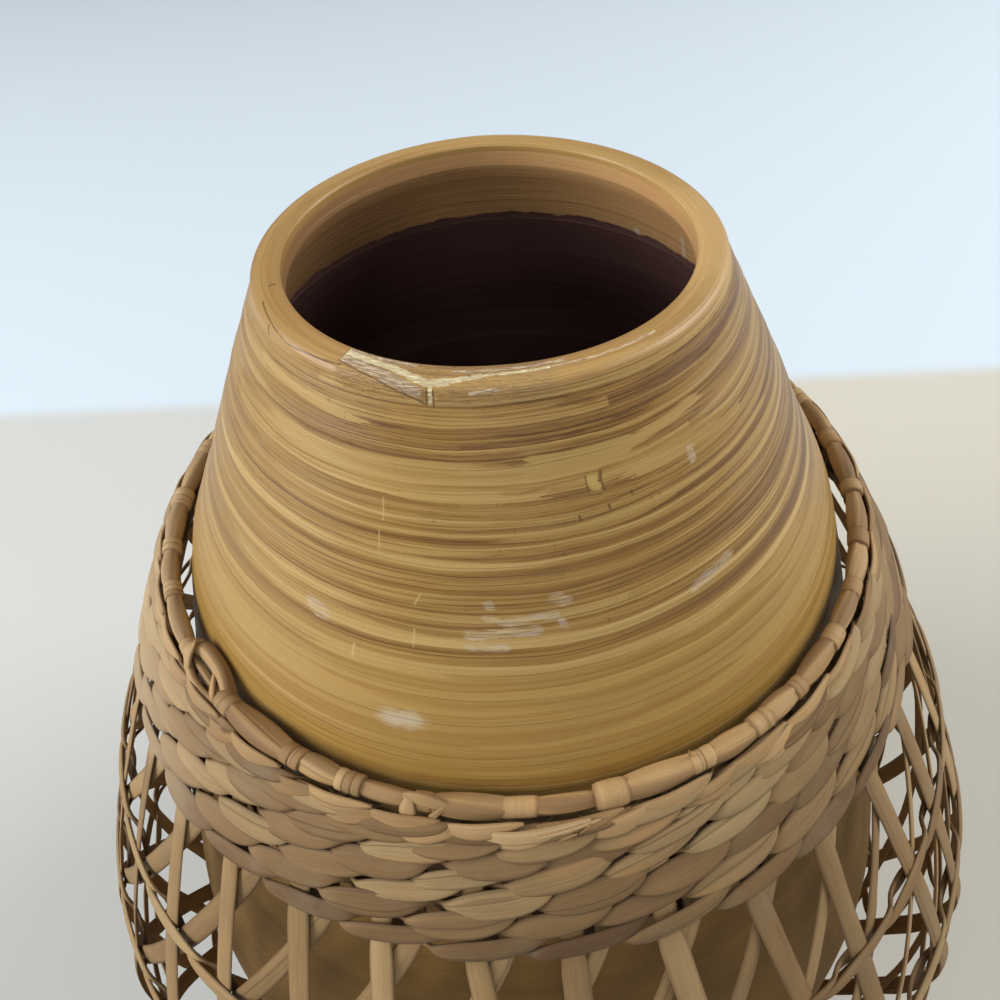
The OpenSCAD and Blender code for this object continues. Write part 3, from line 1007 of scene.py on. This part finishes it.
def dressed_shell(material):
    """The wound bamboo wall, with its strips' relief, crooked lip and splintered chip."""
    section, down = shell_section()
    rows = len(section)
    degrees = np.linspace(-180, 180, ROUND_SEGMENTS, endpoint=False)
    turn = np.radians(degrees)[:, None]
    radius, height = [np.tile(column, (ROUND_SEGMENTS, 1)) for column in section.T]
    degrees_all, down_all = np.meshgrid(degrees, down, indexing="ij")

    rng = np.random.default_rng(7)
    outside = (down_all > 3) & (height > 1 * MM)
    strip = np.floor(down_all / STRIP_H_MM).astype(int) % STRIP_KINDS
    step_in = rng.uniform(0, STRIP_STEP_MM, STRIP_KINDS)[strip] * MM
    wobble = WALL_WOBBLE * (1 + np.sin(3 * turn + down_all * 0.13) * np.sin(down_all * 0.31))
    radius = radius - np.where(outside, step_in + wobble, 0)

    gouge = np.zeros_like(radius)
    for stroke in CHIP_STROKES:
        away = stroke_distance(degrees_all, down_all, stroke)
        gouge = np.maximum(gouge, np.clip(1.2 - away / (stroke[4] * 1.1), 0, 1))
    flute = 0.7 + 0.3 * np.sin(down_all * 5.1 + degrees_all * 0.8)
    gouge = gouge * flute * CHIP_DEPTH
    on_lip = np.clip(1 - np.abs(down_all) / LIP_BAND_MM, 0, 1)
    radius = radius - gouge
    height = height - gouge * on_lip

    drop = (LIP_LEAN * MOUTH_R * np.clip(np.sin(turn), 0, 1)
            + LIP_FAR_DROP * (1 - np.cos(turn)) / 2)
    reach = np.where(down_all > 0, *DROP_REACH_MM)
    depth = (BODY_H - section[None, :, 1]) / MM
    fade = np.clip(1 - depth / reach, 0, 1)
    height = height - drop * fade * fade * (3 - 2 * fade)

    points = np.stack([np.sin(turn) * radius, -np.cos(turn) * radius, height], axis=-1)
    index = np.arange(ROUND_SEGMENTS * rows).reshape(ROUND_SEGMENTS, rows)
    beside = np.roll(index, -1, axis=0)
    above, beside_above = np.roll(index, -1, axis=1), np.roll(beside, -1, axis=1)
    faces = np.stack([index, beside, beside_above, above], axis=-1).reshape(-1, 4)
    piece = mesh_piece("wound_bamboo_body", points.reshape(-1, 3).tolist(), faces.tolist(),
                       material, down_mm=down_all.ravel())
    hand_over(piece, "bamboo", "bamboo_shell")


# The band's rows from the top: half width, lift, shingle tilt, drop below the CAD row,
# shift along the band in stake steps, and tone
# The darker tones of the lowest rows are painted shade
UPPER_ROWS = [
    (2.2, 1.6, 0.40, 0.0, 0.10, 0.05), (2.4, 2.0, 0.34, 0.0, -0.26, 0.10),
    (2.75, 2.3, 0.26, 0.0, 0.22, 0.05), (3.1, 2.8, 0.20, 0.2, -0.16, 0.0),
    (3.35, 3.1, 0.16, 0.5, 0.20, -0.08), (3.5, 3.1, 0.14, 0.9, -0.22, -0.24),
    (3.2, 2.6, 0.10, 1.4, 0.05, -0.40),
]
BINDER_ROWS = 4
LOWER_ROWS = 6
STAKE_SAMPLES = 72


def weave(row_tree, stakes, row_finish, stake_finish):
    """The band under the border, the stakes, their binding rows and the band at the foot."""
    def twined_row(kind, node, number, samples, seed, uneven, tilt, shift=0.0, tone=0.0,
                   drop=0.0, **sizes):
        node = f"{node}_{number}"
        height = middle_height(node) - drop * MM
        values = {title.replace("_", " ").title(): size * MM for title, size in sizes.items()}
        piece = grow(f"{kind}_{number}", row_tree, values | {
            "Row Height": float(height), "Row Radius": float(sleeve_r(height)),
            "Row Slope": sleeve_slope(height), "Stake Count": STAKE_COUNT,
            "Samples": samples * STAKE_COUNT + 1,
            "Start Turn": FIRST_STAKE_TURN + math.pi / 2 + shift * STAKE_STEP,
            "Shingle Tilt": tilt, "Unevenness": uneven, "Seed": float(seed),
            "Tone Shift": tone, "Material": row_finish})
        hand_over(piece, "weaver_strand", node)

    for i, (half_width, lift, tilt, drop, shift, tone) in enumerate(UPPER_ROWS):
        twined_row("upper_twined_row", "upper_weaver_row", i + 1, 16, 3 + i, 1.0, tilt, shift,
                   tone, drop, sway=2.4, lift=lift, half_width=half_width,
                   half_thickness=0.55, fold_depth=0.07)
    for i in range(BINDER_ROWS):
        twined_row("binding_row", "binder_row", i + 1, 14, 31 + i, 0.35, 0.1, sway=1.8,
                   lift=1.6, half_width=2.3, half_thickness=0.5, fold_depth=0.1)
    for i in range(LOWER_ROWS):
        twined_row("lower_twined_row", "lower_weaver_row", i + 1, 14, 47 + i, 0.8, -0.1,
                   0.1 * (-1) ** i, sway=2.1, lift=1.7, half_width=2.8, half_thickness=0.4,
                   fold_depth=0.08)

    def leaning(name, node, layer_offset, half_width, start_share, lean_steps, spread, twist,
                seed):
        piece = grow(name, stakes, {
            "Stake Count": STAKE_COUNT, "Samples": STAKE_SAMPLES,
            "Layer Offset": layer_offset * MM, "Half Width": half_width * MM,
            "Half Thickness": 0.62 * MM,
            "Start Turn": FIRST_STAKE_TURN + start_share * STAKE_STEP,
            "Lean": lean_steps * STAKE_STEP, "Lean Spread": spread * STAKE_STEP,
            "Twist": twist, "Seed": seed, "Material": stake_finish})
        hand_over(piece, "stake_strand", node)

    leaning("leaning_front_stakes", "front_stakes", 0.78, 3.3, 0.0, 1, 0.30, 0.22, 2.0)
    leaning("crossing_stakes", "cross_stakes", -0.78, 3.0, CROSS_START_SHARE,
            CROSS_LEAN_STEPS, 0.12, 0.12, 5.0)


# Wraps in view on the top border: degrees round, half length and crown in millimetres,
# tone, ribs and skew
SEEN_WRAPS = [
    (-60.8, 2.2, 0.5, 0.55, 1, 1.0), (-48.2, 2.8, 0.9, 0.40, 1, 1.5),
    (-34.1, 2.9, 0.8, 0.15, 2, 1.9),
    (-25.0, 3.2, 0.6, 0.98, 3, 0.2), (-14.5, 2.2, 0.3, 0.10, 1, 0.6),
    (-1.9, 3.9, 0.4, 0.58, 1, 0.3), (10.1, 3.7, 1.2, 0.72, 1, 0.4),
    (23.2, 3.1, 0.5, 0.80, 2, 1.0), (33.4, 3.0, 0.6, 0.66, 1, 0.6),
    (41.3, 2.0, 0.5, 0.40, 1, 0.8), (52.1, 2.8, 0.6, 0.70, 1, 1.2),
    (62.1, 2.6, 0.5, 0.45, 1, 0.8),
]


# Slips in view on and under the top border: places as degrees round and millimetres out
# from the border's ring and above it, then half width, half thickness and tone
SEEN_SLIPS = [
    ([(-61.0, -0.8, 1.2), (-57.4, -3.2, 2.2), (-52.4, -3.2, 1.8), (-48.2, -0.8, 0.4)],
     2.4, 1.9, 0.62),
    ([(-60.8, 0.8, -0.6), (-57.0, 3.0, -2.4), (-52.4, 2.8, -2.6), (-48.0, 0.4, -1.0)],
     2.4, 1.2, 0.70),
    ([(-59.9, -3.6, 2.4), (-59.4, 0.4, 2.9), (-58.4, 3.0, -1.6)], 2.6, 0.7, 0.85),
    ([(-53.8, -2.2, 1.6), (-52.0, 0.6, 0.6), (-50.8, 2.6, -1.8)], 1.6, 0.6, 0.80),
    ([(-17.0, 0.4, 2.3), (-14.4, 1.0, 2.9), (-11.0, 1.2, 1.5)], 2.0, 0.6, 0.60),
    ([(-16.2, 0.9, 2.6), (-16.3, 3.0, -0.2), (-15.8, 2.4, -3.2)], 2.0, 0.5, 0.75),
    ([(-11.4, 1.2, 1.9), (-12.8, 2.8, 0.1), (-13.7, 2.4, -2.2)], 0.8, 0.5, 0.66),
    ([(21.7, -0.6, 1.5), (21.5, -0.7, 3.4), (21.3, -0.7, 5.4)], 0.3, 0.25, 0.95),
    ([(-9.6, 4.2, -4.0), (-2.0, 5.8, -3.0), (6.8, 4.6, -1.0)], 2.2, 0.45, 1.16),
    ([(0.0, 6.2, -2.4), (3.5, 5.8, -1.6), (7.9, 4.8, -0.5)], 0.6, 0.30, 1.22),
    ([(1.6, 6.3, -3.6), (3.2, 6.1, -2.8), (4.4, 5.9, -2.2)], 0.55, 0.30, 0.10),
    ([(2.6, 6.2, -4.6), (3.4, 6.4, -3.4), (4.8, 6.2, -2.6)], 0.45, 0.30, 0.60),
    ([(5.0, 6.0, -3.2), (6.0, 5.8, -1.8), (6.6, 5.4, -0.6)], 0.40, 0.30, 0.05),
]

# Thickness of the border's strand after each wrap in view, and after the others
SEEN_SIZES = [0.45, 1.52, 1.20, 0.92, 1.28, 1.05, 1.36, 1.22, 1.18, 1.18, 1.12]
USUAL_SIZE = 1.15

# How far the top border's strands lie above and inside their CAD ring
TOP_RISE = 1.0 * MM
TOP_INSET = 0.8 * MM

# Strands under the border at each wrap: how far below the border's ring they start and
# end, the degrees from the wrap to their start, and half width
UNDER_STRANDS = [(5.4, 2.4, -6, 2.6), (3.2, 0.9, 1, 2.2)]


def hidden_wraps(first, last, count, rng):
    """Wraps that run on round the back, spaced evenly with a little play."""
    step = (last - first) / (count + 1)
    return [(first + step * (i + 1) + rng.uniform(-1.2, 1.2), rng.uniform(2.0, 3.6),
             rng.uniform(0.5, 1.1), rng.uniform(0.2, 0.9), int(rng.choice([1, 1, 1, 2, 3])),
             rng.uniform(0.2, 1.6)) for i in range(count)]


def lay_under_strands(bundle, ring_r, ring_z, degrees, rng):
    """Two thin strands that rise to the right just under the border and tuck in behind it."""
    for low, high, start, half in UNDER_STRANDS:
        low_r = float(sleeve_r(ring_z - low * MM)) + 2.6 * MM
        high_r = max(ring_r + 1.2 * MM, float(sleeve_r(ring_z - high * MM)) + 1.8 * MM)
        sag = rng.uniform(-0.5, 0.5)
        lay_slip(bundle, [(degrees + start, low_r - 1.4 * MM, ring_z - (low + sag) * MM),
                          (degrees + start + 6, low_r, ring_z - (low * 0.6 + high * 0.4) * MM),
                          (degrees + start + 12, high_r - 0.6 * MM, ring_z - high * MM)],
                 half * MM, 0.5 * MM, rng.uniform(0.1, 0.9), 0.12, 0.5)


def border(name_core, name_wraps, core_node, wraps_node, wraps, material, strand_half, rng,
           seen):
    """A rolled border: fat strands from wrap to wrap, and the wraps over their joints."""
    low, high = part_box(core_node)
    ring_z = (low.z + high.z) / 2 + (TOP_RISE if seen else 0)
    ring_r = high.x - (high.z - low.z) / 2 - (TOP_INSET if seen else 0)
    core, wound = Bundle(), Bundle()
    for i, wrap in enumerate(wraps):
        after = wraps[(i + 1) % len(wraps)]
        end = after[0] + (360 if i == len(wraps) - 1 else 0)
        size = SEEN_SIZES[i] if seen and i < len(SEEN_SIZES) else USUAL_SIZE
        lay_border_strand(core, ring_r, ring_z, wrap[0] - 0.5, end + 0.5, strand_half * size,
                          rng.uniform(0.25, 0.85), rng)
        lay_wrap(wound, ring_r, ring_z, wrap[0], wrap[1] * MM, strand_half * 0.90,
                 wrap[2] * MM, wrap[3], wrap[4], wrap[5] * MM)
        if seen:
            lay_under_strands(core, ring_r, ring_z, wrap[0], rng)
    for places, half_width, half_thick, tone in SEEN_SLIPS if seen else []:
        lay_slip(core, [(degrees, ring_r + out * MM, ring_z + above * MM)
                        for degrees, out, above in places],
                 half_width * MM, half_thick * MM, tone, 0.5, 0.3)
    hand_over(core.piece(name_core, material), "border_strand", core_node)
    hand_over(wound.piece(name_wraps, material), "border_strand", wraps_node)


def borders(material):
    rng = np.random.default_rng(11)
    top = SEEN_WRAPS + hidden_wraps(SEEN_WRAPS[-1][0], SEEN_WRAPS[0][0] + 360, 20, rng)
    border("top_border_strands", "top_border_ties", "top_border_core", "top_border_wraps",
           top, material, 2.2 * MM, rng, True)
    foot = [(0.0, 2.6, 0.6, 0.6, 1, 0.6)] + hidden_wraps(0, 360, STAKE_COUNT - 1, rng)
    border("foot_border_strands", "foot_border_ties", "foot_border_core",
           "foot_border_wraps", foot, material, 2.4 * MM, rng, False)


# The setting

CAMERA_PLACE = (0.0, -0.18870, 0.49001)
CAMERA_PAN = -0.0143
CAMERA_PITCH = 0.806
CAMERA_ROLL = -0.0930
CAMERA_LENS = 33.48
FLOOR_SIZE = 6.0


# Lamps as place, size, power and colour. All face one place.
LAMP_AIM = (0, 0, 0.25)
LAMPS = {
    "window_light": ((-2.2, -0.3, 1.45), 1.8, 70, (1.0, 0.98, 0.95)),
    "far_window": ((2.2, 0.5, 1.6), 1.8, 62, (1.0, 0.98, 0.95)),
    "room_light": ((0.0, -2.6, 2.3), 2.0, 24, (1.0, 0.99, 0.97)),
}


def look_like_the_photograph():
    camera = in_scene("camera", bpy.data.cameras.new("camera"))
    camera.data.sensor_width = 36
    camera.data.lens = CAMERA_LENS
    camera.data.clip_start = 0.01
    camera.matrix_world = (
        Matrix.Translation(CAMERA_PLACE) @ Matrix.Rotation(-CAMERA_PAN, 4, "Z")
        @ Matrix.Rotation(math.pi / 2 - CAMERA_PITCH, 4, "X")
        @ Matrix.Rotation(CAMERA_ROLL, 4, "Z"))
    scene.camera = camera


def light_the_room():
    for name, (place, size, power, colour) in LAMPS.items():
        lamp = bpy.data.lights.new(name, "AREA")
        lamp.size, lamp.energy, lamp.color = size, power, colour
        stand = in_scene(name, lamp)
        stand.location = place
        away = np.subtract(LAMP_AIM, place)
        pitch = math.atan2(-away[2], math.hypot(away[0], away[1]))
        stand.rotation_euler = (math.pi / 2 - pitch, 0,
                                math.atan2(away[1], away[0]) - math.pi / 2)
    world = bpy.data.worlds.new("soft room light")
    world.use_nodes = True
    feed(world.node_tree.nodes["Background"], {"Color": (0.97, 0.99, 1.0, 1),
                                               "Strength": 0.28})
    scene.world = world


def lay_floor():
    """A pale floor. Its colours in view are set apart from the grey that lights the vase."""
    material, wire, finish = new_finish("pale painted floor")
    seen = wire.node("ShaderNodeLightPath", output="Is Camera Ray")
    mirrored = seen.out("Is Glossy Ray") + seen.out("Is Transmission Ray")
    in_view = seen.math("MINIMUM", seen + mirrored * 0.4, 1.0)
    x, y = parts(object_place(wire))[:2]
    near = tint(ease(x, -0.1, 0.25), paint(198, 201, 200), paint(201, 198, 187))
    seen_floor = tint(ease(y + x * 0.057, 0.393, 0.415), near, paint(206, 220, 232))
    finish(Base_Color=tint(in_view, paint(158, 158, 156), seen_floor),
           Roughness=0.8, Specular_IOR_Level=0.2)
    half = FLOOR_SIZE / 2
    corners = [(-half, -half, 0), (half, -half, 0), (half, half, 0), (-half, half, 0)]
    mesh_piece("pale_floor", corners, [(0, 1, 2, 3)], material)


bamboo = bamboo_finish()
border_fibre = plant_fibre_finish("border fibre", paint(194, 163, 117), paint(161, 128, 85),
                                  paint(120, 87, 52), paint(90, 62, 36))
row_fibre = plant_fibre_finish("weaver fibre", paint(170, 146, 104), paint(131, 103, 67),
                               paint(96, 70, 46), paint(66, 46, 29))
stake_fibre = plant_fibre_finish("stake fibre", paint(176, 148, 106), paint(148, 120, 80),
                                 paint(112, 84, 54), paint(88, 63, 38))

look_like_the_photograph()
lay_floor()
light_the_room()
dressed_shell(bamboo)
for node, material in (("lacquer_lining", lacquer_finish()),
                       ("floor_disc", floor_disc_finish())):
    frame["nodes"][node].data.materials.clear()
    frame["nodes"][node].data.materials.append(material)
weave(twined_row_tree(), stake_tree(), row_fibre, stake_fibre)
borders(border_fibre)
